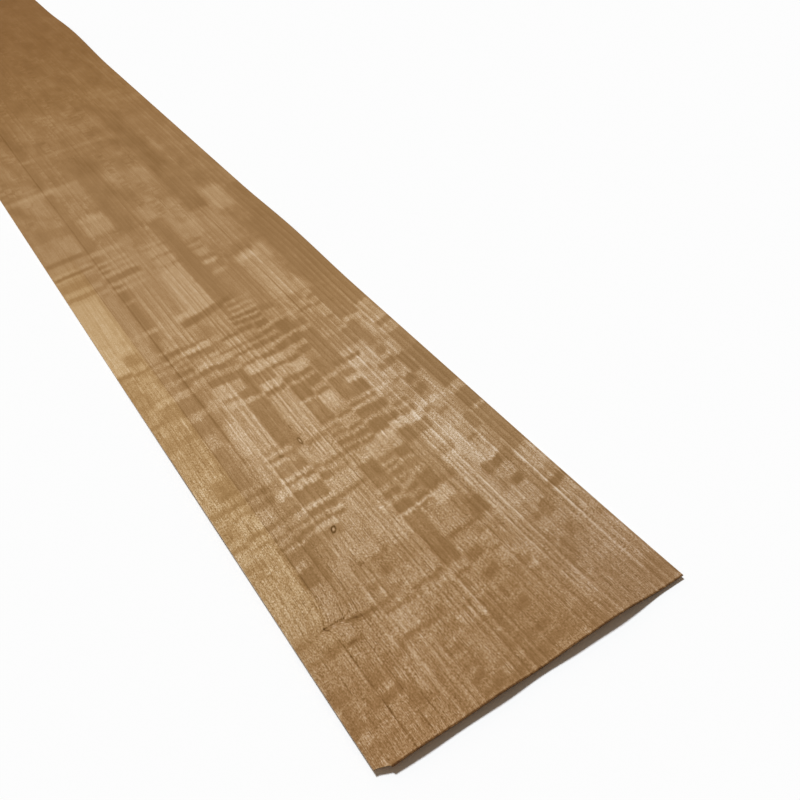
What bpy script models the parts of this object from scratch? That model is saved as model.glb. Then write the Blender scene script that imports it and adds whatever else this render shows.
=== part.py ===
"""Sliced wood veneer sheet: one long leaf lying unheld on a level floor.

Metres, +Z up. X runs along the grain, with the near end at +X and the far end at -X.
Y runs across the grain, with the left edge at -Y and the right edge at +Y.
The leaf lies on the floor, z = 0, along its right side and at the middle of its left
edge. Its left corners bend up, its ends curl up and its long edges rise in low swells,
because a leaf this thin dries unevenly and buckles.
"""

import math

import bmesh
import bpy
from mathutils import Matrix, Vector

# The flat leaf as it is sliced and trimmed
LENGTH = 2.5
WIDTH = 0.25
THICKNESS = 0.0006

# Spacing of the mesh points that carry the buckled form
STEP_ALONG = 0.025
STEP_ACROSS = 0.0125

# The left corners are bent up, each beyond a straight line that runs across the leaf
# from one place on its left edge, where that edge rests on the floor
LEFT_REST = 1.20              # from the near end to that place
NEAR_BEND_AT_RIGHT = 0.20     # from the near end to the near line's right end
FAR_BEND_AT_RIGHT = 0.20      # from the far end to the far line's right end
NEAR_CORNER_RISE = 0.0034
FAR_CORNER_RISE = 0.0034

# The near end curls up and is fluted across the width.
# A flute is (place from the left edge, reach to each side, extra rise).
NEAR_REACH = 0.160
NEAR_RISE_AT_LEFT = 0.0003
NEAR_RISE_AT_RIGHT = 0.0023
NEAR_FLUTES = [
    (0.035, 0.048, 0.0026),
    (0.090, 0.048, 0.0034),
    (0.155, 0.050, 0.0042),
    (0.195, 0.038, 0.0040),
]

# The far end curls up evenly
FAR_REACH = 0.140
FAR_RISE = 0.0030

# Swells along the long edges.
# A swell is (place from the near end, reach to each side, rise at the edge).
LEFT_SWELLS = [
    (0.24, 0.20, 0.0023),
    (1.75, 0.20, 0.0030),
]
RIGHT_SWELLS = [
    (0.56, 0.13, 0.0030),
    (1.31, 0.16, 0.0058),
    (1.80, 0.18, 0.0040),
]
SWELL_DEPTH = 0.080     # how far in from the edge a swell runs out

# The splinter broken out of the near end at its left corner
CHIP_BREADTH = 0.0094         # across the grain
CHIP_DEPTH_AT_EDGE = 0.0052   # along the grain, at the leaf's left edge
CHIP_DEPTH_INSIDE = 0.0028    # along the grain, at the chip's inner side
CUTTER_MARGIN = 0.010         # how far the cutter stands clear of the leaf

# The bare wood, as linear colour
WOOD_COLOUR = (0.376, 0.223, 0.107, 1.0)
WOOD_ROUGHNESS = 0.45


def clear_scene():
    for item in list(bpy.data.objects):
        bpy.data.objects.remove(item, do_unlink=True)


def new_collection(name):
    collection = bpy.data.collections.new(name)
    bpy.context.scene.collection.children.link(collection)
    return collection


def hump(offset, reach):
    """A smooth hump: 1 at its crest, running out level at reach on both sides."""
    if abs(offset) >= reach:
        return 0.0
    return 0.5 + 0.5 * math.cos(math.pi * offset / reach)


def curl(distance, reach):
    """A curl: 1 at the free edge, running out level at reach from it."""
    if distance >= reach:
        return 0.0
    return (1.0 - distance / reach) ** 2


def edge_swells(swells, from_near, from_edge):
    rise = 0.0
    for place, reach, height in swells:
        rise += height * hump(from_near - place, reach)
    return rise * curl(from_edge, SWELL_DEPTH)


def bent_corner(point, line_start, line_end, corner, rise):
    """Height of a corner bent up beyond a line: 0 up to the line, rise at the corner."""
    line = line_end - line_start
    beyond = line.cross(point - line_start) / line.cross(corner - line_start)
    return rise * max(0.0, beyond) ** 2


def lift(x, y):
    """Height of the leaf's underside above the floor."""
    point = Vector((x, y))
    near, far = LENGTH / 2, -LENGTH / 2
    left, right = -WIDTH / 2, WIDTH / 2
    rest = Vector((near - LEFT_REST, left))
    near_bend = Vector((near - NEAR_BEND_AT_RIGHT, right))
    far_bend = Vector((far + FAR_BEND_AT_RIGHT, right))
    z = bent_corner(point, rest, near_bend, Vector((near, left)), NEAR_CORNER_RISE)
    z += bent_corner(point, rest, far_bend, Vector((far, left)), FAR_CORNER_RISE)

    from_near = near - x
    from_left = y - left
    near_rise = NEAR_RISE_AT_LEFT
    near_rise += (NEAR_RISE_AT_RIGHT - NEAR_RISE_AT_LEFT) * from_left / WIDTH
    for place, reach, height in NEAR_FLUTES:
        near_rise += height * hump(from_left - place, reach)
    z += near_rise * curl(from_near, NEAR_REACH)
    z += FAR_RISE * curl(x - far, FAR_REACH)
    z += edge_swells(LEFT_SWELLS, from_near, from_left)
    z += edge_swells(RIGHT_SWELLS, from_near, right - y)
    return z


def wood_material():
    material = bpy.data.materials.new("veneer_wood")
    material.use_nodes = True
    shader = material.node_tree.nodes["Principled BSDF"]
    shader.inputs["Base Color"].default_value = WOOD_COLOUR
    shader.inputs["Roughness"].default_value = WOOD_ROUGHNESS
    shader.inputs["Metallic"].default_value = 0.0
    material.diffuse_color = WOOD_COLOUR
    return material


def mesh_object(name, bm, collection):
    mesh = bpy.data.meshes.new(name)
    bm.to_mesh(mesh)
    bm.free()
    item = bpy.data.objects.new(name, mesh)
    collection.objects.link(item)
    return item


def chip_cutter(collection):
    """A block over the broken corner, its inner face slanted as the splinter tore."""
    slant = (CHIP_DEPTH_INSIDE - CHIP_DEPTH_AT_EDGE) / CHIP_BREADTH
    breadth = CHIP_BREADTH + CUTTER_MARGIN
    left = -WIDTH / 2 - CUTTER_MARGIN
    bm = bmesh.new()
    bmesh.ops.create_cube(bm, size=1.0)
    for vert in bm.verts:
        vert.co.y = left + (vert.co.y + 0.5) * breadth
        from_left = vert.co.y + WIDTH / 2
        if vert.co.x < 0:
            vert.co.x = LENGTH / 2 - CHIP_DEPTH_AT_EDGE - slant * from_left
        else:
            vert.co.x = LENGTH / 2 + CUTTER_MARGIN
        vert.co.z *= 2 * CUTTER_MARGIN + 2 * THICKNESS
    cutter = mesh_object("chip_cutter", bm, collection)
    cutter.hide_render = True
    cutter.display_type = "WIRE"
    return cutter


def veneer_sheet(collection, cutter):
    """The leaf: a grid bent to its underside, thickened upwards, its corner broken off."""
    bm = bmesh.new()
    bmesh.ops.create_grid(
        bm,
        x_segments=round(LENGTH / STEP_ALONG),
        y_segments=round(WIDTH / STEP_ACROSS),
        size=0.5,
        matrix=Matrix.Diagonal((LENGTH, WIDTH, 1.0, 1.0)),
    )
    for vert in bm.verts:
        vert.co.z = lift(vert.co.x, vert.co.y)
    leaf = mesh_object("veneer_sheet", bm, collection)
    leaf.data.materials.append(wood_material())

    wall = leaf.modifiers.new("thickness", "SOLIDIFY")
    wall.thickness = THICKNESS
    wall.offset = 1.0
    wall.use_even_offset = True

    chip = leaf.modifiers.new("broken_corner", "BOOLEAN")
    chip.operation = "DIFFERENCE"
    chip.solver = "EXACT"
    chip.object = cutter
    return leaf


def main():
    clear_scene()
    parts = new_collection("wood_veneer_sheet")
    cutters = new_collection("cutters")
    cutter = chip_cutter(cutters)
    veneer_sheet(parts, cutter)
    bpy.context.view_layer.update()


main()
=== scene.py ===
# %% [markdown]
# # A leaf of figured wood veneer
#
# The object is one long leaf, sliced off a log with a knife and thinner than a
# fingernail. This file dresses its plain CAD solid: a finer mesh of the same buckled
# form, and a wood finish made of shader nodes. The steps are the frame, the leaf's
# mesh, the shader helpers, the layers of the wood's figure from broad to fine, and
# then the floor, the light and the camera.

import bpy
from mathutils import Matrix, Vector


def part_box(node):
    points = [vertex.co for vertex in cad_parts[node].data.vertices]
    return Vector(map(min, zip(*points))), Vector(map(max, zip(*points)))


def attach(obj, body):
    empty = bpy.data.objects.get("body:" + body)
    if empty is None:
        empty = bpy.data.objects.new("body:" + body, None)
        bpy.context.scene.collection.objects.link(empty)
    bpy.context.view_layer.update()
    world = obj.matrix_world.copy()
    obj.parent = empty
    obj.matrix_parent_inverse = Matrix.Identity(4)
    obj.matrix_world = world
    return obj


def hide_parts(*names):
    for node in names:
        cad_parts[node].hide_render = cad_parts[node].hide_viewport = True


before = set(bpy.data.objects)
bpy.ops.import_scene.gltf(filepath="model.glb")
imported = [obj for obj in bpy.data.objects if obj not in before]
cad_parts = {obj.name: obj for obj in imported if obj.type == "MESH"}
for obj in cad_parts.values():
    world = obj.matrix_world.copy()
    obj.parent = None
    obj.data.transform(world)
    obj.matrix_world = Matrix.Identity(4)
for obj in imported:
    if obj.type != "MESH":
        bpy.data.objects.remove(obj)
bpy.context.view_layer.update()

# %% [markdown]
# Blender works in metres, and the CAD box gives the leaf's length and width. Along the
# leaf, this file measures from the near end, and across it from the left edge, because
# a person with a tape would. Figure in wood is a matter of millimetres, so the pattern
# is laid out in those.

# %% Modules and the leaf's sizes
import math

import bmesh
import bpy
from mathutils import Matrix, Vector

MM = 0.001
low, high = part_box("veneer_sheet")
LENGTH = round(high.x - low.x, 3)
WIDTH = round(high.y - low.y, 3)
THICKNESS = 0.6 * MM
NEAR, FAR = LENGTH / 2, -LENGTH / 2
LEFT, RIGHT = -WIDTH / 2, WIDTH / 2
print("leaf", LENGTH, "by", WIDTH, "m")

# %% [markdown]
# ## The buckled form
#
# A dry leaf never lies quite flat. Its corners bend up, the near end is fluted like a
# pie crust, and the long edges rise in low swells. One could sculpt this, or simulate
# it as cloth, but the CAD solid already has the form as sums of a few smooth humps.
# The same sums are used here on a finer grid, so the new skin lies in the old one.

# %% The humps and bends that buckle the leaf
LEFT_REST = 1.20
BEND_AT_RIGHT = 0.20
CORNER_RISE = 0.0034
NEAR_REACH = 0.160
NEAR_RISE_AT_LEFT = 0.0003
NEAR_RISE_AT_RIGHT = 0.0023
NEAR_FLUTES = [
    (0.035, 0.048, 0.0026),
    (0.090, 0.048, 0.0034),
    (0.155, 0.050, 0.0042),
    (0.195, 0.038, 0.0040),
]
FAR_REACH = 0.140
FAR_RISE = 0.0030
LEFT_SWELLS = [
    (0.24, 0.20, 0.0023),
    (1.75, 0.20, 0.0030),
]
RIGHT_SWELLS = [
    (0.56, 0.13, 0.0030),
    (1.31, 0.16, 0.0058),
    (1.80, 0.18, 0.0040),
]
SWELL_DEPTH = 0.080


def hump(offset, reach):
    """1 at the crest, running out level at reach on both sides."""
    if abs(offset) >= reach:
        return 0.0
    return 0.5 + 0.5 * math.cos(math.pi * offset / reach)


def curl(distance, reach):
    """1 at a free edge, running out level at reach from it."""
    return max(0.0, 1.0 - distance / reach) ** 2


def edge_swells(swells, from_near, from_edge):
    rise = sum(height * hump(from_near - place, reach) for place, reach, height in swells)
    return rise * curl(from_edge, SWELL_DEPTH)


def bent_corner(point, line_start, line_end, corner):
    """Height of a corner that is bent up beyond a line."""
    line = line_end - line_start
    beyond = line.cross(point - line_start) / line.cross(corner - line_start)
    return CORNER_RISE * max(0.0, beyond) ** 2


def lift(x, y):
    """Height of the leaf's underside above the floor."""
    point = Vector((x, y))
    rest = Vector((NEAR - LEFT_REST, LEFT))
    near_bend = Vector((NEAR - BEND_AT_RIGHT, RIGHT))
    far_bend = Vector((FAR + BEND_AT_RIGHT, RIGHT))
    z = bent_corner(point, rest, near_bend, Vector((NEAR, LEFT)))
    z += bent_corner(point, rest, far_bend, Vector((FAR, LEFT)))
    from_near, from_left = NEAR - x, y - LEFT
    near_rise = NEAR_RISE_AT_LEFT
    near_rise += (NEAR_RISE_AT_RIGHT - NEAR_RISE_AT_LEFT) * from_left / WIDTH
    for place, reach, height in NEAR_FLUTES:
        near_rise += height * hump(from_left - place, reach)
    z += near_rise * curl(from_near, NEAR_REACH)
    z += FAR_RISE * curl(x - FAR, FAR_REACH)
    z += edge_swells(LEFT_SWELLS, from_near, from_left)
    z += edge_swells(RIGHT_SWELLS, from_near, RIGHT - y)
    return z


# %% [markdown]
# ## The leaf's mesh
#
# The leaf starts as one flat grid. A splinter has broken out of its near left corner,
# which two slanted cuts and one along the grain take off. Then every point is lifted
# to its height, and a Solidify modifier gives the wood its thickness upwards, so that
# the underside is the one that touches the floor.

# %% Grid, broken corner, height
STEP_ALONG = 5 * MM
STEP_ACROSS = 5 * MM
# The torn end of the broken corner, as (along, across) in millimetres
TORN_END = [(5.2, 0.0), (4.2, 2.5), (2.8, 8.9), (-0.4, 9.9)]


def leaf_point(along, across, z=0.0):
    """A place on the leaf, in millimetres from its near end and its left edge."""
    return Vector((NEAR - along * MM, LEFT + across * MM, z))


def break_corner(bm):
    """Cuts the grid along the torn end and takes the splinter away."""
    corner = [f for f in bm.faces if (f.calc_center_median() - leaf_point(0, 0)).length < 0.03]
    sides = []
    for start, end in zip(TORN_END, TORN_END[1:]):
        here, there = leaf_point(*start), leaf_point(*end)
        outward = (there - here).cross(Vector((0, 0, 1))).normalized()
        if outward.dot(leaf_point(0, 0) - here) < 0:
            outward.negate()
        sides.append((here, outward))
        edges = {e for f in corner for e in f.edges}
        verts = {v for f in corner for v in f.verts}
        cut = bmesh.ops.bisect_plane(
            bm, geom=[*corner, *edges, *verts], plane_co=here, plane_no=outward
        )
        corner = [g for g in cut["geom"] if isinstance(g, bmesh.types.BMFace)]
    gone = []
    for face in corner:
        middle = face.calc_center_median()
        if all((middle - here).dot(outward) > 0 for here, outward in sides):
            gone.append(face)
    bmesh.ops.delete(bm, geom=gone, context="FACES")
    return len(gone)


def veneer_leaf():
    bm = bmesh.new()
    bmesh.ops.create_grid(
        bm,
        x_segments=round(LENGTH / STEP_ALONG),
        y_segments=round(WIDTH / STEP_ACROSS),
        size=0.5,
        matrix=Matrix.Diagonal((LENGTH, WIDTH, 1.0, 1.0)),
    )
    broken = break_corner(bm)
    for vert in bm.verts:
        vert.co.z = lift(vert.co.x, vert.co.y)
    for face in bm.faces:
        face.smooth = True
    for edge in bm.edges:
        edge.smooth = not edge.is_boundary
    mesh = bpy.data.meshes.new("veneer_leaf")
    bm.to_mesh(mesh)
    bm.free()
    leaf = bpy.data.objects.new("veneer_leaf", mesh)
    bpy.context.scene.collection.objects.link(leaf)
    wall = leaf.modifiers.new("thickness", "SOLIDIFY")
    wall.thickness = THICKNESS
    wall.offset = 1.0
    wall.use_even_offset = True
    print("leaf mesh:", len(mesh.polygons), "faces,", broken, "broken off at the corner")
    return leaf


leaf = veneer_leaf()
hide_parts("veneer_sheet")
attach(leaf, "root")

# %% [markdown]
# ## Shader maths in Python
#
# The wood's finish is arithmetic on the place of each point: how far along the grain,
# how far across. Wiring Math nodes by hand soon turns into a tangle. Instead, a small
# class wraps a node's output, and Python's own operators add the Math nodes.

# %% A value that Python can calculate with
class Value:
    """An output of a shader node. Each operator adds one Math node."""

    def __init__(self, finish, socket):
        self.finish = finish
        self.socket = socket

    def math(self, operation, *values):
        sockets = dict(zip(("Value", "Value_001", "Value_002"), values))
        return self.finish.node("ShaderNodeMath", {"operation": operation}, sockets)

    def other(self, name):
        """Another output of the same node."""
        return Value(self.finish, self.socket.node.outputs[name])

    def __add__(self, other):
        return self.math("ADD", self, other)

    def __sub__(self, other):
        return self.math("SUBTRACT", self, other)

    def __rsub__(self, other):
        return self.math("SUBTRACT", other, self)

    def __mul__(self, other):
        return self.math("MULTIPLY", self, other)

    def __truediv__(self, other):
        return self.math("DIVIDE", self, other)

    def __abs__(self):
        return self.math("ABSOLUTE", self)

    __radd__ = __add__
    __rmul__ = __mul__


# %% [markdown]
# Every other node comes from one method. It takes the node's type, then its settings,
# then what its sockets get, by the socket's identifier, which is unique even where a
# node shows the same name twice.

# %% A finish and its nodes
class Finish:
    """A material with a Principled shader, and the method that adds its nodes."""

    def __init__(self, name):
        self.material = bpy.data.materials.new(name)
        self.material.use_nodes = True
        self.tree = self.material.node_tree
        self.shader = self.tree.nodes["Principled BSDF"]

    def node(self, kind, settings=None, sockets=None, output=0):
        """A new node, and one of its outputs as a Value."""
        node = self.tree.nodes.new(kind)
        for name, setting in (settings or {}).items():
            if name == "stops":
                self.set_stops(node.color_ramp, setting)
            else:
                setattr(node, name, setting)
        for name, value in (sockets or {}).items():
            socket = next(s for s in node.inputs if s.identifier == name)
            self.feed(socket, value)
        return Value(self, node.outputs[output])

    def feed(self, socket, value):
        if isinstance(value, Value):
            self.tree.links.new(value.socket, socket)
        else:
            socket.default_value = value

    def set_stops(self, ramp, stops):
        ramp.elements[0].position, ramp.elements[0].color = stops[0]
        ramp.elements[1].position, ramp.elements[1].color = stops[-1]
        for position, colour in stops[1:-1]:
            ramp.elements.new(position).color = colour


wood = Finish("veneer_wood")

# %% [markdown]
# ## Where a point is on the leaf
#
# Object coordinates give a point in metres. They are turned into millimetres along and
# across the leaf. The grain isn't ruler straight: it wanders a little, and it bulges
# sharply round the small shake near the left edge.

# %% Along and across, in millimetres
# The place that the figure is measured from lies this far in from the near end
FIGURE_START = 2.3
# How far the grain bulges at the shake, and how far it wanders elsewhere
SHAKE_BULGE = 4.6
GRAIN_WANDER = 0.6

place = wood.node("ShaderNodeTexCoord", output="Object")
place_x = wood.node("ShaderNodeSeparateXYZ", {}, {"Vector": place})
along = (NEAR - place_x) / MM - FIGURE_START
true_across = (place_x.other("Y") - LEFT) / MM


def smooth(value, start, end):
    """0 before start, 1 past end, and a smooth step between them."""
    sockets = {"Value": value, "From Min": start, "From Max": end}
    return wood.node("ShaderNodeMapRange", {"interpolation_type": "SMOOTHSTEP"}, sockets)


def band(value, start, end, fade):
    """1 between start and end, with both sides faded."""
    rise = smooth(value, start - fade / 2, start + fade / 2)
    fall = smooth(value, end + fade / 2, end - fade / 2)
    return rise * fall


def grain_noise(long, wide, layer, detail=2.0, at=None):
    """Noise about zero whose flecks are long by wide millimetres. A layer is a new draw."""
    along_at, across_at = at or (along, across)
    sockets = {"X": along_at / long, "Y": across_at / wide, "Z": layer}
    vector = wood.node("ShaderNodeCombineXYZ", {}, sockets)
    noise = wood.node(
        "ShaderNodeTexNoise", {}, {"Vector": vector, "Scale": 1.0, "Detail": detail}
    )
    return (noise - 0.5) * 4.0


def curve(value, points):
    """A value read off a curve of straight pieces through the points."""
    node = wood.node("ShaderNodeFloatCurve", {}, {"Value": value})
    mapping = node.socket.node.mapping
    mapping.use_clip = False
    mapping.extend = "HORIZONTAL"
    mapping.clip_min_x, mapping.clip_max_x = points[0][0], points[-1][0]
    line = mapping.curves[0]
    line.points[0].location, line.points[1].location = points[0], points[-1]
    for point in points[1:-1]:
        line.points.new(*point)
    for point in line.points:
        point.handle_type = "VECTOR"
    mapping.update()
    return node


# How far the lines swerve at the shake, and how much so across the leaf
SWERVE = [(84, 0.0), (92, 0.12), (95.5, 0.45), (97.5, 1.0), (99, 0.85), (103, 0.5),
          (110, 0.22), (120, 0.05), (128, 0.0)]
SWERVE_ACROSS = [(4, 0.0), (20, 1.0), (30, 1.0), (42, 0.6), (50, 0.2), (66, 0.0)]
bulge = curve(along, SWERVE) * curve(true_across, SWERVE_ACROSS)
wander = grain_noise(260.0, 70.0, layer=1.0, detail=1.0, at=(along, true_across))
across = true_across + SHAKE_BULGE * bulge + GRAIN_WANDER * wander

# %% [markdown]
# ## Ribbons
#
# The tree's fibres spiral one way for some years and then the other. A knife that
# slices such wood lays it open in ribbons along the grain, which look dark or light as
# their fibres lean towards the eye or away from it. Where the fibres are wavy too, a
# ribbon breaks up into blocks. Each ribbon is a lane here, the lane's number picks
# a noise of its own, and a lane's blocks end in teeth, because the fibres do.
#
# The result is called lustre: 0 is the plain dark wood, 1 the bright wood. Past the
# leaf's first metre, noise alone makes it.

# %% Lanes of blocks
# How far the teeth and the slower waves shift the blocks along the leaf
TEETH, WAVES = 4.5, 3.0
# How far apart two lanes lie in the noise that draws their blocks
LANE_APART = 7.31

teeth = grain_noise(60.0, 2.6, layer=2.0)
uneven = grain_noise(70.0, 14.0, layer=2.5)
ragged = along + TEETH * teeth + WAVES * uneven


def two_tone(noise):
    """Noise driven to -1 and 1, with soft edges between the two."""
    return smooth(noise, -0.45, 0.45) * 2.0 - 1.0


def lane_tone(number, run, layer):
    """The tone of a lane's blocks, from -1 to 1."""
    at = (ragged, number * LANE_APART)
    return two_tone(grain_noise(run, 1.0, layer=layer, detail=1.0, at=at))


def lanes(width, shift, run, layer):
    """Lanes of a width, whose blocks are about run millimetres long."""
    spread = 0.6 * grain_noise(500.0, 35.0, layer=layer + 0.5, detail=1.0)
    lane = across / width + shift + spread
    number = lane.math("FLOOR", lane)
    into = smooth(lane - number, 0.65, 1.0)
    here, beyond = lane_tone(number, run, layer), lane_tone(number + 1.0, run, layer)
    return here * (1.0 - into) + beyond * into


broad_lanes = lanes(24.0, shift=0.30, run=90.0, layer=3.0)
narrow_lanes = lanes(9.0, shift=0.10, run=30.0, layer=5.0)

# %% [markdown]
# ## Growth rings
#
# The knife lays the growth rings open as lines along the leaf, a few to ten millimetres
# apart. Each ring's wood grows paler across the ring and stops at a thin dark line. One
# curve across the leaf holds the crests and the lines of all rings. The fibres' waves
# break off at these lines too, so another curve gives each ring a number of its own.

# %% The rings across the leaf
# place of the pale crest across the leaf, its height, depth of the dark line past it
RINGS = [
    (9.0, 0.1, 0.1), (17.5, 0.15, 0.1), (26.0, 0.25, 0.3), (38.5, 0.15, 0.1),
    (44.6, 0.2, 0.2), (48.6, 0.2, 0.2), (56.2, 0.3, 0.2), (62.3, 0.6, 0.3),
    (72.4, 0.5, 0.4), (77.9, 0.5, 0.3), (89.5, 0.15, 0.3), (98.0, 0.25, 0.1),
    (103.2, 0.4, 0.35), (106.9, 0.3, 0.2), (112.8, 0.5, 0.5), (119.4, 0.6, 0.35),
    (127.3, 0.45, 0.25), (136.8, 0.35, 0.3), (152.0, 0.25, 0.2), (163.5, 0.3, 0.3),
    (167.8, 0.25, 0.2), (173.6, 0.5, 0.4), (182.3, 0.7, 0.4), (186.2, 0.4, 0.2),
    (192.0, 0.7, 0.4), (198.9, 0.4, 0.2), (206.6, 0.4, 0.3), (214.9, 0.3, 0.15),
    (220.9, 0.4, 0.3), (226.5, 0.5, 0.35), (232.7, 0.9, 0.45), (240.3, 0.7, 0.4),
    (247.2, 0.4, 0.1),
]
# A ring's section, in millimetres from its crest: the wood pales up to the crest, and
# past it lies the dark line
PALES_FROM, CREST_FROM, CREST_TO = -3.2, -0.4, 0.3
LINE_FROM, LINE_TO, LEVEL_FROM = 1.2, 1.7, 2.6
RING_WANDER = 0.5


def ring_points(rings):
    """The points of a curve through the sections of some rings, one after the other."""
    points = []
    for crest, height, depth in rings:
        start = crest + PALES_FROM
        if points:
            start = max(start, points[-1][0] + 0.1)
        points += [(start, 0.0), (crest + CREST_FROM, height), (crest + CREST_TO, height)]
        points += [(crest + LINE_FROM, -depth), (crest + LINE_TO, -depth)]
        points += [(crest + LEVEL_FROM, 0.0)]
    return points


ring_wander = RING_WANDER * grain_noise(90.0, 30.0, layer=7.0, detail=2.0)
ring_across = across + ring_wander
half = len(RINGS) // 2
left_rings = curve(ring_across, ring_points(RINGS[:half]))
right_rings = curve(ring_across, ring_points(RINGS[half:]))
rings = left_rings + right_rings
steps = []
for number, (crest, _, _) in enumerate(RINGS):
    steps += [(crest + 0.6, float(number)), (crest + 1.4, number + 1.0)]
ring_number = curve(ring_across, steps)

# %% [markdown]
# ## Bars across the grain
#
# Waves in the fibres show as bars across the leaf, about 13 mm apart and a little
# slanted: cabinet makers call this fiddleback. Noise stretched across the grain makes
# them, a new draw for each ring, and a patchy noise says where they show.

# %% Fiddleback bars
BAR_LEAN = 0.22
# How far apart two rings lie in the noise that draws their bars
RING_APART = 37.3
# How much the lanes and the bars change the lustre
LANES_SHOW, UNSEEN_LANES_SHOW, BARS_SHOW = 0.13, 0.23, 0.34

slanted_along = along - BAR_LEAN * across
bars_at = (slanted_along, across + RING_APART * ring_number)
bars = two_tone(grain_noise(7.5, 22.0, layer=8.0, detail=1.0, at=bars_at))
bar_patches = smooth(grain_noise(60.0, 16.0, layer=9.0), -0.4, 0.5)
bar_patches = bar_patches * (0.45 + 0.55 * smooth(along, 260.0, 60.0))
bar_patches = bar_patches * (1.0 - 0.6 * smooth(across, 160.0, 200.0))

unseen_part = smooth(along, 1400.0, 1700.0)
lanes_show = LANES_SHOW + (UNSEEN_LANES_SHOW - LANES_SHOW) * unseen_part
lustre = 0.5 + (0.9 * broad_lanes + 0.6 * narrow_lanes) * lanes_show
lustre = lustre + BARS_SHOW * bars * bar_patches

# %% [markdown]
# ## Blocks and bars with a place of their own
#
# Noise makes wood of this kind, but not this leaf. The bars and blocks that stand out on it were
# placed looking at an enlarged view of the photograph with a millimetre grid, as a restorer does who
# copies a figure in paint. The growth rings cut the leaf into rows. A row has its two sides across
# the leaf, a lean, which slants its bars, and for each bar where it starts, where it ends and one of
# six tones. Between the bars, the noise shows.

# %% Bars of the near part
# The lustre of each tone
DARK, DIM, DULL, FAIR, PALE, BRIGHT = 0.0, 0.18, 0.40, 0.62, 0.84, 1.16

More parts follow.
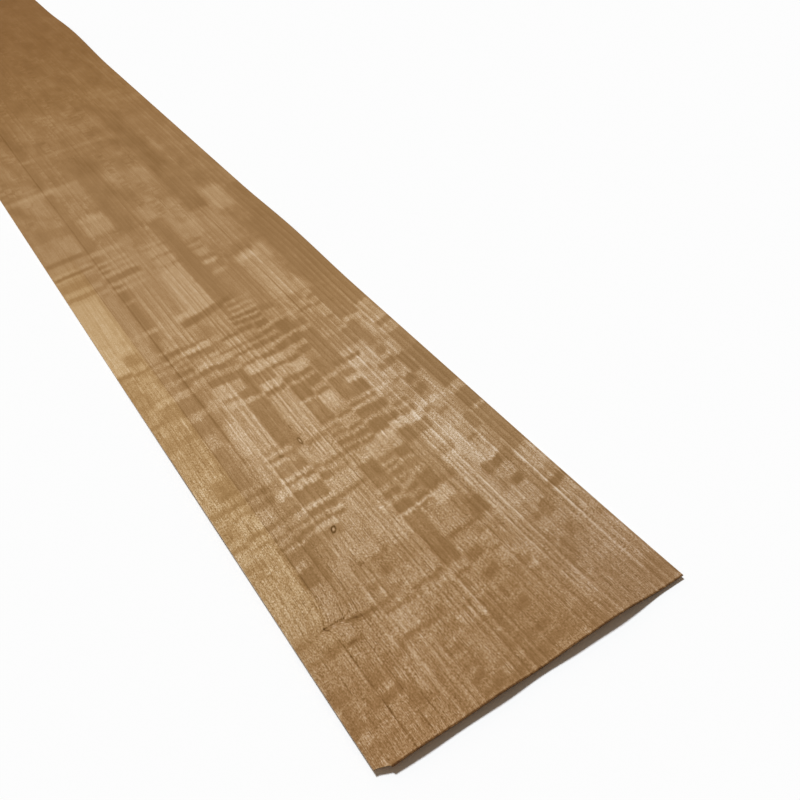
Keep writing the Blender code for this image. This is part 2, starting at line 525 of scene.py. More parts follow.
# (left, right) across, lean, [(start, end, tone), ...]
NEAR_BARS = [
    ((-3, 14), 0.12, [
        (12, 15, DIM), (27, 30, DIM), (34, 41, DULL), (47, 56, DIM), (77, 81, DIM),
        (92, 97, DIM), (101, 152, PALE), (164, 168, DULL), (171, 184, PALE), (185, 190, DIM),
        (196, 213, DULL), (221, 225, DIM), (228, 250, PALE), (302, 325, DULL), (338, 343, DIM),
        (363, 372, DULL), (383, 388, DULL), (403, 407, DULL), (413, 418, DIM),
        (421, 465, BRIGHT)]),
    ((14, 28), 0.2, [
        (12, 15, DIM), (16, 23, PALE), (24, 26, DIM), (31, 38, DIM), (43, 50, DULL),
        (77, 80, DARK), (82, 84, DIM), (86, 95, PALE), (128, 150, PALE), (181, 183, DIM),
        (190, 194, DARK), (196, 212, PALE), (213, 216, DIM), (223, 227, DARK),
        (235, 241, DARK), (241, 257, DIM), (309, 317, DULL), (330, 338, PALE),
        (341, 360, DULL), (362, 369, BRIGHT), (374, 405, PALE), (412, 417, DIM),
        (429, 443, DULL), (445, 465, PALE)]),
    ((28, 42), 0.15, [
        (21, 25, DULL), (32, 39, DARK), (45, 55, DIM), (78, 82, DARK), (102, 117, PALE),
        (131, 147, DARK), (154, 158, DIM), (161, 165, DIM), (170, 173, DARK), (180, 182, DIM),
        (191, 196, DARK), (197, 212, PALE), (213, 219, DIM), (226, 230, DARK),
        (237, 290, DIM), (307, 328, DIM), (329, 339, PALE), (340, 361, DIM),
        (362, 370, BRIGHT), (371, 380, DULL), (381, 388, PALE), (389, 400, DULL),
        (406, 410, DULL), (417, 420, DIM), (448, 465, PALE)]),
    ((42, 50), 0.15, [
        (18, 27, DIM), (30, 32, DIM), (50, 58, DULL), (59, 62, DARK), (91, 96, DARK),
        (98, 100, BRIGHT), (106, 128, DULL), (131, 167, DARK), (168, 171, PALE),
        (171, 178, DARK), (183, 186, DARK), (193, 198, DARK), (214, 222, DARK),
        (226, 233, DARK), (263, 270, DIM), (290, 312, DIM), (313, 334, DARK),
        (341, 363, DARK), (372, 383, DARK), (384, 388, PALE), (389, 398, DARK),
        (408, 411, DARK), (412, 416, PALE), (418, 428, DARK), (432, 465, DIM)]),
    ((50, 62), 0.15, [
        (31, 38, PALE), (54, 59, DULL), (91, 96, DARK), (143, 161, DULL), (162, 170, DIM),
        (175, 180, DARK), (184, 187, DIM), (188, 195, PALE), (197, 202, DARK),
        (203, 212, DULL), (213, 221, BRIGHT), (229, 232, DULL), (234, 268, PALE),
        (270, 312, BRIGHT), (319, 334, DULL), (347, 366, DULL), (379, 384, DIM),
        (391, 397, DARK), (402, 405, DIM), (411, 414, DIM), (421, 428, DARK),
        (430, 436, PALE), (452, 465, DIM)]),
    ((62, 79.5), 0.1, [
        (35, 38, DULL), (47, 49, DULL), (50, 58, PALE), (62, 66, DARK), (67, 84, BRIGHT),
        (85, 88, DARK), (93, 97, DIM), (118, 130, DULL), (136, 160, PALE), (163, 171, DIM),
        (173, 178, BRIGHT), (179, 182, DARK), (187, 193, DARK), (194, 198, BRIGHT),
        (199, 215, DARK), (216, 223, BRIGHT), (224, 227, DIM), (228, 232, BRIGHT),
        (233, 247, DULL), (248, 252, BRIGHT), (253, 257, DIM), (258, 262, BRIGHT),
        (270, 325, PALE), (327, 335, BRIGHT), (336, 341, DULL), (342, 360, BRIGHT),
        (361, 371, DARK), (381, 388, DARK), (389, 397, BRIGHT), (405, 410, DULL),
        (411, 416, DARK), (417, 423, BRIGHT), (424, 430, DIM), (451, 458, PALE)]),
    ((79.5, 90), 0.1, [
        (0, 6, DARK), (11, 16, DARK), (22, 32, DIM), (37, 42, DIM), (62, 66, DARK),
        (75, 85, PALE), (86, 89, DARK), (90, 95, PALE), (113, 121, DIM), (126, 131, DIM),
        (133, 177, PALE), (178, 181, DARK), (182, 186, BRIGHT), (187, 194, DARK),
        (195, 199, BRIGHT), (200, 216, DARK), (217, 223, BRIGHT), (224, 228, DARK),
        (229, 233, BRIGHT), (234, 246, DIM), (253, 257, DIM), (264, 312, DARK),
        (313, 326, DIM), (327, 333, BRIGHT), (334, 344, DARK), (345, 360, PALE),
        (361, 371, DARK), (380, 388, DARK), (389, 398, BRIGHT), (402, 406, BRIGHT),
        (407, 417, DIM), (418, 427, BRIGHT), (428, 431, DIM), (453, 460, PALE)]),
    ((90, 98.5), 0.15, [
        (0, 11, DARK), (17, 28, DIM), (38, 44, DIM), (49, 58, DIM), (63, 72, DIM),
        (91, 95, DARK), (131, 134, DIM), (136, 190, PALE), (192, 195, DARK),
        (197, 213, PALE), (214, 222, DARK), (228, 231, DARK), (233, 255, PALE),
        (257, 327, DIM), (328, 332, PALE), (333, 372, DARK), (373, 380, PALE),
        (381, 390, DIM), (391, 399, BRIGHT), (400, 402, DARK), (408, 420, DULL),
        (421, 428, PALE), (430, 465, DULL)]),
    ((98.5, 119), 0.17, [
        (0, 6, DARK), (14, 18, DIM), (33, 43, DULL), (44, 48, DIM), (60, 63, DIM),
        (73, 82, DULL), (92, 96, DARK), (97, 112, PALE), (115, 121, DULL), (133, 172, PALE),
        (194, 197, DARK), (199, 213, PALE), (217, 221, DIM), (228, 231, DARK),
        (233, 254, PALE), (255, 259, DIM), (262, 325, PALE), (326, 332, DARK),
        (333, 343, BRIGHT), (344, 359, DIM), (360, 373, BRIGHT), (374, 379, DIM),
        (390, 394, DARK), (401, 404, DIM), (406, 417, PALE), (419, 423, DARK)]),
    ((119, 135), 0.1, [
        (0, 9, DARK), (13, 24, DIM), (26, 34, DULL), (36, 50, DIM), (54, 63, DIM),
        (84, 87, DARK), (88, 94, PALE), (97, 117, DARK), (118, 150, DIM), (151, 153, BRIGHT),
        (154, 164, DARK), (171, 178, DARK), (184, 195, DIM), (196, 213, DARK),
        (230, 235, DARK), (239, 245, DARK), (251, 254, DARK), (259, 263, DIM),
        (269, 274, DARK), (275, 300, DIM), (301, 304, PALE), (305, 326, DARK),
        (331, 339, DARK), (340, 356, PALE), (357, 361, DARK), (362, 373, BRIGHT),
        (374, 380, DARK), (381, 389, PALE), (390, 398, DARK), (402, 406, DARK),
        (408, 413, DULL), (420, 428, DARK), (433, 439, DARK), (443, 447, DARK),
        (454, 458, DIM)]),
    ((135, 150), 0.2, [
        (6, 13, DARK), (18, 24, DARK), (25, 37, DULL), (38, 47, DARK), (52, 62, DIM),
        (70, 79, DARK), (85, 88, PALE), (89, 98, DARK), (114, 118, DARK), (119, 140, PALE),
        (151, 153, DARK), (154, 156, BRIGHT), (157, 162, DARK), (168, 173, DARK),
        (179, 183, DIM), (187, 193, DARK), (197, 200, DARK), (205, 210, DIM),
        (212, 229, PALE), (230, 235, DARK), (239, 246, DARK), (251, 255, DARK),
        (256, 260, PALE), (264, 269, PALE), (270, 274, DARK), (281, 303, BRIGHT),
        (304, 309, DARK), (316, 328, DARK), (329, 333, PALE), (334, 340, DARK),
        (341, 356, BRIGHT), (357, 363, DARK), (364, 375, PALE), (376, 386, DARK),
        (387, 392, PALE), (393, 400, DARK), (406, 412, DARK), (413, 418, PALE),
        (419, 428, DARK), (433, 439, DARK), (443, 449, DARK), (454, 459, DIM)]),
    ((150, 166), 0.15, [
        (5, 17, DIM), (22, 75, DULL), (116, 119, DARK), (146, 159, BRIGHT), (162, 180, DARK),
        (187, 196, DIM), (201, 213, DARK), (222, 228, PALE), (231, 235, BRIGHT),
        (236, 251, DARK), (252, 255, PALE), (256, 261, DIM), (262, 269, DARK),
        (270, 273, BRIGHT), (274, 279, DARK), (284, 316, DIM), (318, 322, PALE),
        (323, 347, DIM), (361, 370, DARK), (371, 378, PALE), (379, 391, DARK),
        (392, 396, PALE), (397, 417, DARK), (418, 423, PALE), (440, 465, DIM)]),
    ((166, 181), 0.12, [
        (0, 20, DIM), (22, 60, DULL), (120, 138, DARK), (162, 168, DIM), (171, 212, DULL),
        (214, 229, DARK), (232, 241, BRIGHT), (242, 250, DARK), (258, 269, DARK),
        (270, 275, PALE), (276, 280, DIM), (281, 284, PALE), (285, 302, DARK),
        (303, 309, BRIGHT), (311, 320, DIM), (328, 336, DARK), (337, 390, DIM),
        (392, 398, PALE), (399, 410, DIM), (419, 427, PALE), (447, 465, DULL)]),
    ((181, 198), 0.2, [
        (0, 20, DULL), (50, 62, DULL), (99, 176, PALE), (178, 186, BRIGHT), (196, 216, PALE),
        (217, 229, DIM), (231, 241, BRIGHT), (242, 249, DIM), (254, 260, DIM),
        (268, 272, DULL), (280, 285, BRIGHT), (290, 308, PALE), (316, 329, BRIGHT),
        (330, 335, DARK), (336, 345, PALE), (346, 372, DULL), (385, 395, DULL),
        (419, 424, DIM), (436, 458, DULL)]),
    ((198, 209), 0.3, [
        (0, 35, DULL), (56, 68, DIM), (80, 91, PALE), (92, 98, DIM), (111, 128, PALE),
        (129, 138, DULL), (149, 160, DIM), (162, 188, BRIGHT), (191, 212, BRIGHT),
        (214, 232, PALE), (234, 239, DIM), (240, 248, BRIGHT), (255, 266, DULL),
        (280, 284, DIM), (285, 300, PALE), (301, 308, DIM), (310, 346, PALE),
        (348, 372, DIM), (373, 378, PALE), (394, 399, DIM), (401, 418, PALE),
        (420, 424, DIM), (434, 440, DIM), (449, 465, DULL)]),
    ((209, 221), 0.3, [
        (0, 40, DULL), (67, 78, DIM), (92, 106, DIM), (115, 128, PALE), (129, 137, DARK),
        (152, 161, DARK), (162, 167, BRIGHT), (174, 178, PALE), (187, 191, DIM),
        (204, 212, PALE), (226, 231, DIM), (241, 249, BRIGHT), (257, 268, DARK),
        (273, 283, DARK), (284, 293, PALE), (304, 313, DARK), (314, 320, PALE),
        (321, 330, DIM), (337, 380, DIM), (381, 387, PALE), (388, 465, DIM)]),
    ((221, 231), 0.3, [
        (0, 25, DULL), (102, 148, DULL), (152, 165, DIM), (196, 214, DIM), (241, 257, PALE),
        (282, 312, DARK), (313, 335, PALE), (347, 374, PALE), (380, 388, PALE),
        (389, 465, DIM)]),
    ((231, 253), 0.3, [
        (0, 22, DIM), (112, 120, DARK), (132, 157, PALE), (161, 215, DIM), (220, 242, DARK),
        (253, 314, DARK), (315, 344, DIM), (345, 358, FAIR), (359, 366, DIM),
        (367, 374, PALE), (402, 465, DIM)]),
]

# %% Blocks and bars of the far part
FAR_BLOCKS = [
    ((-3, 30), 0.2, [(440, 556, BRIGHT), (557, 680, FAIR), (681, 712, DULL)]),
    ((30, 45), 0.2, [(440, 545, FAIR), (640, 680, PALE), (686, 706, DULL), (734, 752, FAIR)]),
    ((45, 58), 0.1, [(440, 600, DARK), (602, 1000, DIM)]),
    ((58, 91), 0.2, [(440, 475, PALE), (480, 640, FAIR), (669, 702, PALE), (703, 714, BRIGHT),
                     (770, 800, PALE)]),
    ((91, 121), 0.2, [(440, 471, FAIR), (472, 562, BRIGHT), (656, 862, DIM)]),
    ((121, 141), 0.2, [(440, 664, DIM), (666, 700, PALE), (864, 890, DIM)]),
    ((141, 172), 0.2, [(440, 532, DULL), (605, 643, PALE), (756, 798, PALE), (872, 890, DIM)]),
    ((172, 200), 0.2, [(440, 532, PALE), (533, 548, BRIGHT), (569, 643, FAIR), (660, 1000, DIM)]),
    ((200, 213), 0.3, [(440, 470, PALE), (520, 558, PALE), (643, 700, PALE)]),
    ((213, 226), 0.3, [(440, 602, DIM), (648, 703, PALE), (770, 1000, DULL)]),
    ((226, 253), 0.2, [(440, 695, DIM), (697, 1000, DULL)]),
]
# Bars that cross the blocks, and farther ones that look blurred
FAR_BARS = [
    ((0, 44), 0.20, [(549, 556, PALE), (557, 564, DULL), (565, 573, PALE), (576, 590, DULL),
                     (596, 600, PALE), (601, 606, DIM), (607, 613, PALE), (629, 638, DIM)]),
    ((44, 82), 0.20, [(524, 530, FAIR), (549, 556, PALE), (562, 569, PALE), (571, 580, DIM),
                      (582, 589, PALE), (595, 600, PALE), (607, 612, PALE), (626, 636, PALE)]),
    ((20, 60), 0.12, [(463, 470, PALE)]),
    ((78, 96), 0.20, [(471, 479, BRIGHT)]),
    ((78, 138), 0.32, [(463, 474, DARK)]),
    ((98, 121), 0.20, [(570, 578, PALE), (582, 586, PALE), (592, 598, PALE), (602, 607, PALE),
                       (613, 618, PALE)]),
    ((126, 152), 0.15, [(440, 443, PALE), (450, 454, PALE), (460, 463, PALE), (470, 474, FAIR)]),
    ((141, 157), 0.15, [(525, 533, PALE), (548, 556, BRIGHT), (566, 580, PALE), (588, 593, PALE)]),
]
DIM_BARS = [
    ((0, 90), 0.20, [(786, 796, PALE), (800, 806, DULL)]),
    ((25, 160), 0.15, [(870, 879, DULL)]),
    ((25, 70), 0.15, [(882, 889, FAIR)]),
    ((70, 160), 0.15, [(893, 900, FAIR)]),
]

# %% [markdown]
# A row is painted with three curves. Two run along the leaf: one has the tones of its
# bars, and the other is the cover, 1 at each bar and 0 between the bars. The third runs
# across the leaf and keeps the paint between the row's sides. A curve is stored as
# a table, and most rows are too long for one, so two curves share them: one changes
# before the join and the other past it. What is painted later covers what is below it:
# the far blocks come first, then the bars that cross several of them, then the near
# bars, on ground that is a little lighter. Last, clouds blur the farthest part.

# %% Painting the bars
side_across = across + grain_noise(22.0, 5.0, layer=9.5)


def cover_points(bars, fade, shift=0.0):
    """Up to 1 at each bar and down again past it. Bars that touch share one cover."""
    points = []
    for i, (start, end, _) in enumerate(bars):
        if i == 0 or start - bars[i - 1][1] > fade:
            points += [(start + shift - fade / 2, 0.0), (start + shift + fade / 2, 1.0)]
        if i == len(bars) - 1 or bars[i + 1][0] - end > fade:
            points += [(end + shift - fade / 2, 1.0), (end + shift + fade / 2, 0.0)]
    return points


def long_curve(value, points, join):
    """A curve that two nodes share: one up to the join, the other past it."""
    before = [point for point in points if point[0] < join]
    past = [point for point in points if point[0] >= join]
    if not before or not past:
        return curve(value, before or past)
    level = before[-1][1]
    past = [(at, height - level) for at, height in past]
    return curve(value, before) + curve(value, [(before[-1][0], 0.0)] + past)


def laid_over(below, cover, above):
    """One value painted over another where the cover is 1."""
    sockets = {"Factor_Float": cover, "A_Float": below, "B_Float": above}
    return wood.node("ShaderNodeMix", {"data_type": "FLOAT"}, sockets)


def paint(below, rows, at_along, join, fade, side_fade, opacity):
    """Rows of bars painted over a value. The ones with one lean share their coordinate."""
    slanted = {}
    for (left, right), lean, bars in rows:
        if lean not in slanted:
            slanted[lean] = at_along - lean * across
        shift = -lean * (left + right) / 2
        tones = []
        for start, end, tone in bars:
            slope = min(fade, end - start) / 4
            tones += [(start + shift + slope, tone), (end + shift - slope, tone)]
        cover = long_curve(slanted[lean], cover_points(bars, fade, shift), join + shift)
        sides = curve(side_across, cover_points([(left, right, 1.0)], side_fade))
        above = long_curve(slanted[lean], tones, join + shift)
        below = laid_over(below, cover * sides * opacity, above)
    return below


# %% Painting the leaf
# Where each part's paint fades: the place where it is gone, and the one where it is full
FAR_FADE_IN, FAR_FADE_OUT = (440.0, 456.0), (1050.0, 950.0)
NEAR_FADE_OUT = (456.0, 446.0)
# Where the curves of a far row and of a near row are joined
FAR_JOIN, NEAR_JOIN = 700.0, 225.0
# The near part's paint is thinner at the leaf's end than further in
FAR_OPACITY, END_OPACITY, NEAR_OPACITY = 0.85, 0.55, 0.85
NEAR_GROUND_LIFT = 0.12
CLOUDS_SHOW = 0.22

far_window = FAR_OPACITY * smooth(along, *FAR_FADE_IN) * smooth(along, *FAR_FADE_OUT)
lustre = paint(lustre, FAR_BLOCKS, ragged, FAR_JOIN, fade=10.0, side_fade=9.0, opacity=far_window)
bar_shift = grain_noise(30.0, 8.0, layer=10.0, detail=3.0)
bar_along = along + 1.6 * bar_shift
lustre = paint(lustre, FAR_BARS, bar_along, FAR_JOIN, fade=4.5, side_fade=7.0, opacity=1.0)
lustre = paint(lustre, DIM_BARS, bar_along, FAR_JOIN, fade=9.0, side_fade=14.0, opacity=1.0)

near_part = smooth(along, *NEAR_FADE_OUT)
near_window = END_OPACITY + (NEAR_OPACITY - END_OPACITY) * smooth(along, 30.0, 170.0)
near_window = near_window * near_part
lustre = lustre + NEAR_GROUND_LIFT * near_part * smooth(along, 0.0, 60.0)
row_along = along + 1.5 * teeth + 0.8 * bar_shift
lustre = paint(lustre, NEAR_BARS, row_along, NEAR_JOIN, fade=3.0, side_fade=4.0, opacity=near_window)

clouds = grain_noise(45.0, 20.0, layer=19.0, detail=3.0)
lustre = lustre + CLOUDS_SHOW * clouds * smooth(along, 480.0, 760.0)
print("figure:", len(wood.tree.nodes), "nodes so far")

# %% [markdown]
# ## Streaks and pores
#
# Fine streaks along the grain are cut pores and growth lines. Noises drawn out along the leaf make
# them, the finest of them as thin as hairs. Near the right edge a few pores catch the light and show
# as bright lines, which are painted glints in the colour, and short noises stand for single fibres
# and for the marks that the knife leaves across them. They glitter in the bright wood, and hardly
# show in the dark blocks.

# %% Streaks, painted pore glints, fibres
PORE_GLINT_WIDTH = 0.9
# How long a pore or a growth line takes to fade at its ends
LINE_FADE = 40.0
# Pores that show as painted glints
# place across, (start, end) along, strength
PORE_GLINTS = [
    (27.5, (150, 215), 0.3),
    (62.6, (190, 340), 0.4),
    (106.9, (160, 430), 0.35),
    (113.6, (160, 430), 0.3),
    (138.0, (160, 220), 0.5),
    (182.3, (60, 200), 0.35),
    (191.9, (60, 260), 0.5),
    (199.2, (160, 430), 0.3),
    (207.0, (160, 430), 0.4),
    (221.2, (155, 220), 0.5),
    (232.8, (75, 178), 0.9),
    (247.6, (110, 165), 0.8),
]

streaks = grain_noise(90.0, 1.7, layer=11.0, detail=3.0)
hairlines = grain_noise(16.0, 0.55, layer=18.0, detail=1.0)
fibres = grain_noise(1.8, 0.55, layer=12.0, detail=1.0)
knife_marks = grain_noise(0.9, 2.2, layer=13.0, detail=1.0)
mottle = grain_noise(8.0, 7.0, layer=15.0, detail=2.0)
glint_beads = smooth(grain_noise(14.0, 0.9, layer=14.0, detail=2.0), -0.9, 0.7)
pore_glints = 0.0
for middle, (start, end), strength in PORE_GLINTS:
    line = smooth(abs(across - middle), PORE_GLINT_WIDTH, 0.0) * band(along, start, end, LINE_FADE)
    pore_glints = strength * line + pore_glints

# %% [markdown]
# ## Marks
#
# A leaf is known by its marks: thin dark growth lines, a small dark shake across the grain, which
# the lines swerve round, two pin knots, and specks. A line is a narrow band across, a knot is an
# oval ring with a pale heart, which is a painted glint, and a speck is a small oval. The last bit of
# wood at the near end is darkened, a painted shade line that stands for the dark gap under the
# lifted end.

# %% Growth lines, shake, pin knots, specks, painted end shade
# place across before and past the shake, (start, end) along, half width, strength
GROWTH_LINES = [
    (27.3, 30.6, (-20, 240), 0.8, 0.6),
    (30.6, 30.6, (240, 600), 0.9, 0.4),
    (41.6, 44.5, (-20, 240), 0.8, 0.55),
    (49.6, 51.0, (-20, 180), 0.8, 0.5),
    (47.0, 47.0, (230, 1000), 1.5, 0.35),
    (185.0, 185.0, (430, 620), 0.9, 0.4),
]
# The shake's cracks and the stain around them: middle along, (from, to) across, lean,
# half width, strength
CRACKS = [
    (98.3, (19.0, 40.0), -0.10, 1.2, 0.9),
    (98.3, (27.0, 38.0), -0.10, 3.4, 0.3),
    (95.8, (35.0, 48.0), 0.25, 1.5, 0.6),
    (94.0, (38.0, 64.0), 0.12, 3.2, 0.25),
]
# along, across, half width, how many times longer, tilt, strength
PIN_KNOTS = [(167.8, 71.2, 2.1, 1.8, 0.45, 1.6), (262.5, 95.6, 1.5, 3.2, 0.03, 1.1)]
# dark spots and ticks: along, across, half length, half width, strength
SPOTS = [
    (79.5, 34.0, 2.0, 4.0, 0.5), (97.0, 24.5, 1.8, 2.0, 0.7), (101.0, 42.0, 1.6, 2.6, 0.5),
    (130.5, 71.5, 2.8, 2.4, 0.9), (140.0, 70.2, 9.0, 0.8, 0.6), (155.0, 70.2, 7.0, 0.8, 0.6),
    (254.5, 75.3, 2.0, 2.4, 0.6), (258.2, 6.0, 2.4, 0.9, 0.7), (248.0, 96.8, 5.0, 0.8, 0.6),
    (281.0, 96.6, 3.5, 1.1, 0.6),
]

# The painted shade line at the near end, from where it is gone to where it is full
END_SHADE_FADE = (1.7, 0.6)
END_SHADE_SHOWS = 1.7

past_shake = smooth(along, 97.0, 126.0)
marks_and_end_shade = 0.0
for before, past, (start, end), width, strength in GROWTH_LINES:
    middle = before + (past - before) * past_shake
    line = smooth(abs(across - middle), width, 0.0) * band(along, start, end, LINE_FADE)
    marks_and_end_shade = strength * line + marks_and_end_shade

crack_along = along + grain_noise(40.0, 5.0, layer=16.0, at=(along, true_across))
for middle, (start, end), lean, width, strength in CRACKS:
    offset = crack_along - middle + lean * (true_across - (start + end) / 2)
    crack = smooth(abs(offset), width, 0.0) * band(true_across, start, end, 10.0)
    marks_and_end_shade = strength * crack + marks_and_end_shade


def oval(middle_along, middle_across, long, wide, tilt):
    """The distance from an oval's middle, where 1 is its rim."""
    off_along, off_across = along - middle_along, true_across - middle_across
    long_way = (off_along * math.cos(tilt) + off_across * math.sin(tilt)) / long
    short_way = (off_across * math.cos(tilt) - off_along * math.sin(tilt)) / wide
    return long_way.math("SQRT", long_way * long_way + short_way * short_way)


# A knot's pale heart is a painted glint
glints = 0.0
for knot_along, knot_across, size, longer, tilt, strength in PIN_KNOTS:
    distance = oval(knot_along, knot_across, size * longer, size, tilt)
    marks_and_end_shade = strength * band(distance, 0.5, 1.0, 0.45) + marks_and_end_shade
    glints = smooth(distance, 0.5, 0.2) + glints
for spot_along, spot_across, long, wide, strength in SPOTS:
    marks_and_end_shade = strength * smooth(oval(spot_along, spot_across, long, wide, 0.1), 1.3, 0.4) + marks_and_end_shade
# A painted shade line darkens the last bit of the near end
painted_end_shade = smooth(along + FIGURE_START, *END_SHADE_FADE)
marks_and_end_shade = marks_and_end_shade + END_SHADE_SHOWS * painted_end_shade

# %% [markdown]
# ## From tone to colour
#
# All layers add up to one tone, and a colour ramp turns it into wood. Laid over it are painted light
# along the leaf, a paler painted sheen on the near part and painted shade that deepens towards the
# browner far end, then the yellow band by the left edge, and the foxy and the grey corner of the
# near end, where the grey is the veil of a painted sheen.

# %% Tone and colour
# A Mix node has an output for each kind of value, and the colour is at this place
COLOUR_RESULT = 2


def blend(kind, factor, first, second):
    """Two colours mixed the way that a paint program mixes layers."""
    settings = {"data_type": "RGBA", "blend_type": kind}
    sockets = {"Factor_Float": factor, "A_Color": first, "B_Color": second}
    return wood.node("ShaderNodeMix", settings, sockets, COLOUR_RESULT)


def painted(red, green, blue):
    """A colour as a paint program writes it, 0 to 255, made linear for the shader."""
    linear = []
    for part in (red, green, blue):
        part /= 255
        linear.append(part / 12.92 if part <= 0.04045 else ((part + 0.055) / 1.055) ** 2.4)
    return (*linear, 1.0)


# The tone runs from TONE_LOW, the darkest mark, to TONE_HIGH, a pore that glitters
TONE_LOW, TONE_HIGH = -1.0, 2.0
WOOD_TONES = [
    (0.0, painted(84, 54, 28)),
    (0.333, painted(142, 106, 64)),
    (0.5, painted(167, 130, 87)),
    (0.667, painted(192, 158, 116)),
    (1.0, painted(232, 210, 180)),
]
# Painted light along the leaf: darker at the very end, a paler painted sheen about a tenth of the
# way in, and painted shade that deepens and browns towards the far end, as a share of its length and
# a colour that multiplies
PAINTED_SHEEN_AND_SHADE = [
    (0.0, (0.81, 0.795, 0.82, 1.0)),
    (0.03, (0.814, 0.803, 0.812, 1.0)),
    (0.056, (0.90, 0.918, 0.967, 1.0)),
    (0.08, (1.005, 1.06, 1.16, 1.0)),
    (0.11, (1.02, 1.07, 1.17, 1.0)),
    (0.17, (0.97, 0.994, 1.042, 1.0)),
    (0.22, (0.91, 0.914, 0.94, 1.0)),
    (0.30, (0.875, 0.87, 0.87, 1.0)),
    (0.38, (0.80, 0.76, 0.70, 1.0)),
    (0.42, (0.735, 0.675, 0.57, 1.0)),
    (0.52, (0.61, 0.52, 0.385, 1.0)),
    (0.60, (0.585, 0.49, 0.35, 1.0)),
]
# The yellow band by the left edge
YELLOWER = (1.065, 1.07, 1.0, 1.0)
# How strongly each layer shows in the tone
FIBRES_SHOW, KNIFE_SHOWS, HAIRLINES_SHOW = 0.80, 0.40, 0.50
STREAKS_SHOW, MOTTLE_SHOWS = 0.30, 0.10
RINGS_SHOW, PORE_GLINTS_SHOW, GLINTS_SHOW, MARKS_AND_SHADE_SHOW = 0.6, 1.2, 0.4, 0.75


def fading(lost, start, end):
    """1 before start, and less by what is lost past end, along the leaf."""
    return 1.0 - lost * smooth(along, start, end)


flecks = FIBRES_SHOW * fibres + KNIFE_SHOWS * knife_marks + HAIRLINES_SHOW * hairlines
flecks = flecks * fading(0.80, 200.0, 560.0)
streaks_fade = fading(0.60, 350.0, 650.0)
fine = (STREAKS_SHOW * streaks + MOTTLE_SHOWS * mottle) * streaks_fade + flecks
glitter = 0.25 + 0.75 * smooth(lustre, 0.0, 0.8)
rings_show = RINGS_SHOW * (0.35 + 0.65 * glitter) * (1.0 + 0.6 * mottle) * streaks_fade
figure = lustre - 0.5 + rings * rings_show + fine * glitter
tone = 0.5 + figure * fading(0.60, 650.0, 1450.0)
# The pore glints and the knots' pale hearts add painted highlights to the tone
tone = tone + PORE_GLINTS_SHOW * pore_glints * glint_beads + GLINTS_SHOW * glints - MARKS_AND_SHADE_SHOW * marks_and_end_shade
share = (tone - TONE_LOW) / (TONE_HIGH - TONE_LOW)
wood_colour = wood.node("ShaderNodeValToRGB", {"stops": WOOD_TONES}, {"Fac": share})
# Painted sheen on the near part and painted shade towards the far end, multiplied into the colour
painted_sheen_and_shade = wood.node("ShaderNodeValToRGB", {"stops": PAINTED_SHEEN_AND_SHADE}, {"Fac": along * MM / LENGTH})
wood_colour = blend("MULTIPLY", 1.0, wood_colour, painted_sheen_and_shade)
yellow_band = band(across, -9.0, 30.0, 3.0) * band(along, 95.0, 610.0, 90.0)
wood_colour = blend("MULTIPLY", yellow_band, wood_colour, YELLOWER)
# The first tint is a foxy cast on the near left; the other two lay the grey veil of a painted sheen
# on the right of the near part.
# (fades in from, to) across, (from, to) along, colour that multiplies
TINTS_AND_SHEEN = [
    ((110, 20), (120, 20), (1.01, 0.985, 0.95, 1.0)),
    ((140, 210), (450, 300), (0.965, 0.98, 1.02, 1.0)),
    ((150, 215), (110, 40), (1.03, 1.05, 1.11, 1.0)),
]
for (side_from, side_to), (end_from, end_to), tint in TINTS_AND_SHEEN:
    cover = smooth(across, side_from, side_to) * smooth(along, end_from, end_to)
    wood_colour = blend("MULTIPLY", cover, wood_colour, tint)

# %% [markdown]
# ## Cut faces
#
# The ends were cut across the grain. End grain is darker, and its colour here is nearly black, which
# adds painted shade to it, while the long edges are painted pale, lighter than the wood, which
# paints light on faces that the sun hardly reaches. The direction that a face looks in tells them
# apart.

# %% End grain and edges
# End grain darkened to nearly black, partly painted shade; the long edges are painted light
END_GRAIN_AND_SHADE = painted(52, 34, 18)
LONG_EDGE_PAINTED_LIGHT = painted(235, 205, 168)

facing = wood.node("ShaderNodeSeparateXYZ", {}, {"Vector": place.other("Normal")})
at_end = smooth(abs(facing), 0.5, 0.8)
at_edge = smooth(abs(facing.other("Y")), 0.5, 0.8)
# Painted light on the long edges and painted shade on the ends
wood_colour = blend("MIX", at_edge, wood_colour, LONG_EDGE_PAINTED_LIGHT)
wood_colour = blend("MIX", at_end, wood_colour, END_GRAIN_AND_SHADE)
wood.feed(wood.shader.inputs["Base Color"], wood_colour)

# %% [markdown]
# ## Satin and relief
#
# Sliced wood is dull until it is finished. Here the surface reflects next to nothing, and the wood's
# satin sheen is painted into its colour instead, with the light and dark of its figure. Light blocks
# are a little smoother, because there the fibres lie flat.
# The pores are real grooves, far too fine to model, so a Bump node cuts them.

# %% Roughness and bump
ROUGHNESS, SMOOTHER_WHERE_LIGHT = 0.66, 0.10
GLOSS = 0.02
PORE_DEPTH = 0.02 * MM

wood.feed(wood.shader.inputs["Roughness"], ROUGHNESS - SMOOTHER_WHERE_LIGHT * lustre)
wood.shader.inputs["Specular IOR Level"].default_value = GLOSS
relief = 0.5 * fibres + 0.5 * streaks + 0.3 * knife_marks
sockets = {"Height": relief, "Strength": 0.5, "Distance": PORE_DEPTH}
bump = wood.node("ShaderNodeBump", {}, sockets)
wood.feed(wood.shader.inputs["Normal"], bump)
leaf.data.materials.append(wood.material)
print("wood finish:", len(wood.tree.nodes), "nodes")

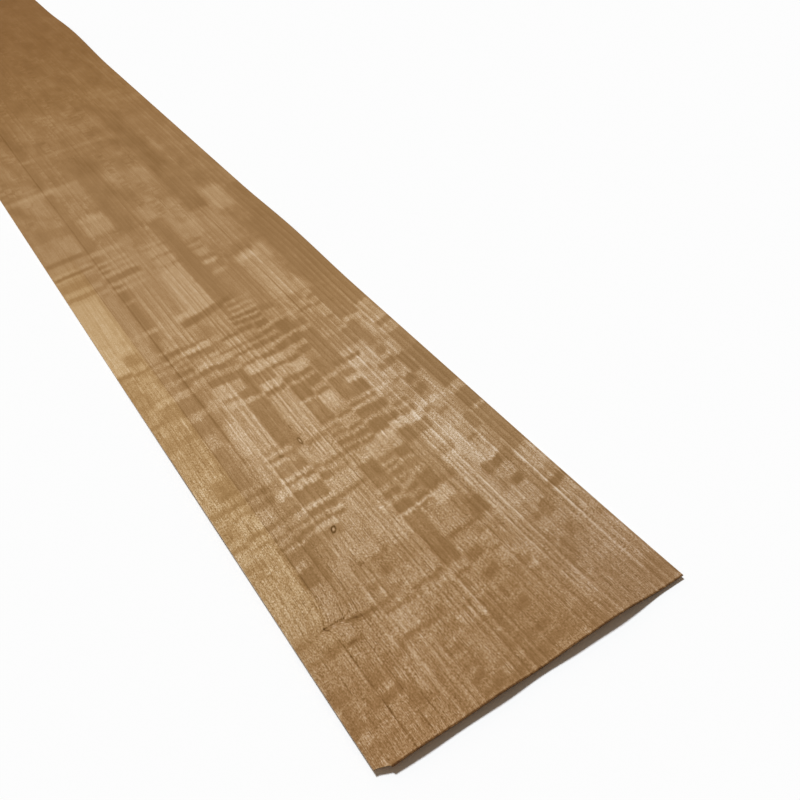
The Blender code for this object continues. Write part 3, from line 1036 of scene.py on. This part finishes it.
# %% [markdown]
# ## Floor, light and camera
#
# The leaf lies on a plain white floor in soft studio light. Most of the light is a broad
# sun from behind the leaf, high up, which throws the lifted end's shadow towards the
# camera. A dim warm sky gives the rest, so that the shadow turns out brown. The sun has
# the colour that the sky lacks, so that in the open the two add up to plain white light.
# To the camera, and in anything that gleams, the sky shows as a white backdrop.

# %% Floor
FLOOR_SIZE = 12.0
FLOOR_WHITE = (0.98, 0.98, 0.98, 1.0)
# The floor lies a hair under the leaf, so that the two don't share a plane
FLOOR_DROP = 0.1 * MM

bm = bmesh.new()
bmesh.ops.create_grid(bm, x_segments=1, y_segments=1, size=FLOOR_SIZE / 2)
floor_mesh = bpy.data.meshes.new("floor")
bm.to_mesh(floor_mesh)
bm.free()
floor_mesh.transform(Matrix.Translation((0.0, 0.0, -FLOOR_DROP)))
floor = bpy.data.objects.new("floor", floor_mesh)
bpy.context.scene.collection.objects.link(floor)
floor_finish = Finish("floor_white")
floor_finish.shader.inputs["Base Color"].default_value = FLOOR_WHITE
floor_finish.shader.inputs["Roughness"].default_value = 1.0
floor_finish.shader.inputs["Specular IOR Level"].default_value = 0.0
floor_mesh.materials.append(floor_finish.material)

# %% Sky and sun
SKY_LIGHT = Vector((0.20, 0.155, 0.115))
SUN_LIGHT = Vector((1.0, 1.0, 1.0)) - SKY_LIGHT
SUN_FROM = Vector((-0.44, -0.06, 0.87)).normalized()
SUN_SPREAD = math.radians(10)
# The places of the two colours among a Mix node's inputs
COLOUR_A, COLOUR_B = 6, 7

world = bpy.data.worlds.new("studio")
bpy.context.scene.world = world
world.use_nodes = True
sky = world.node_tree
background = sky.nodes["Background"]
rays = sky.nodes.new("ShaderNodeLightPath")
seen = rays.outputs["Is Camera Ray"]
for kind_of_ray in ("Is Glossy Ray", "Is Transmission Ray"):
    either = sky.nodes.new("ShaderNodeMath")
    either.operation = "MAXIMUM"
    sky.links.new(seen, either.inputs[0])
    sky.links.new(rays.outputs[kind_of_ray], either.inputs[1])
    seen = either.outputs[0]
shown = sky.nodes.new("ShaderNodeMix")
shown.data_type = "RGBA"
shown.inputs[COLOUR_A].default_value = (*SKY_LIGHT, 1.0)
shown.inputs[COLOUR_B].default_value = (1.0, 1.0, 1.0, 1.0)
sky.links.new(seen, shown.inputs[0])
sky.links.new(shown.outputs[COLOUR_RESULT], background.inputs["Color"])

sun_light = bpy.data.lights.new("window_sun", "SUN")
sun_light.color = SUN_LIGHT
sun_light.energy = math.pi / SUN_FROM.z
sun_light.angle = SUN_SPREAD
sun = bpy.data.objects.new("window_sun", sun_light)
sun.rotation_euler = SUN_FROM.to_track_quat("Z", "Y").to_euler()
bpy.context.scene.collection.objects.link(sun)

# %% Camera
CAMERA_PLACE = Vector((1.4326, -0.2332, 0.4790))
CAMERA_TOWARDS = Vector((-0.6182, 0.4164, -0.6666))
# The lens and the width of the film, in millimetres
CAMERA_LENS, FILM_WIDTH = 37.889, 36.0

camera_data = bpy.data.cameras.new("camera")
camera_data.lens = CAMERA_LENS
camera_data.sensor_width = FILM_WIDTH
camera = bpy.data.objects.new("camera", camera_data)
camera.location = CAMERA_PLACE
camera.rotation_euler = CAMERA_TOWARDS.to_track_quat("-Z", "Y").to_euler()
bpy.context.scene.collection.objects.link(camera)
bpy.context.scene.camera = camera
bpy.context.scene.view_settings.view_transform = "Standard"
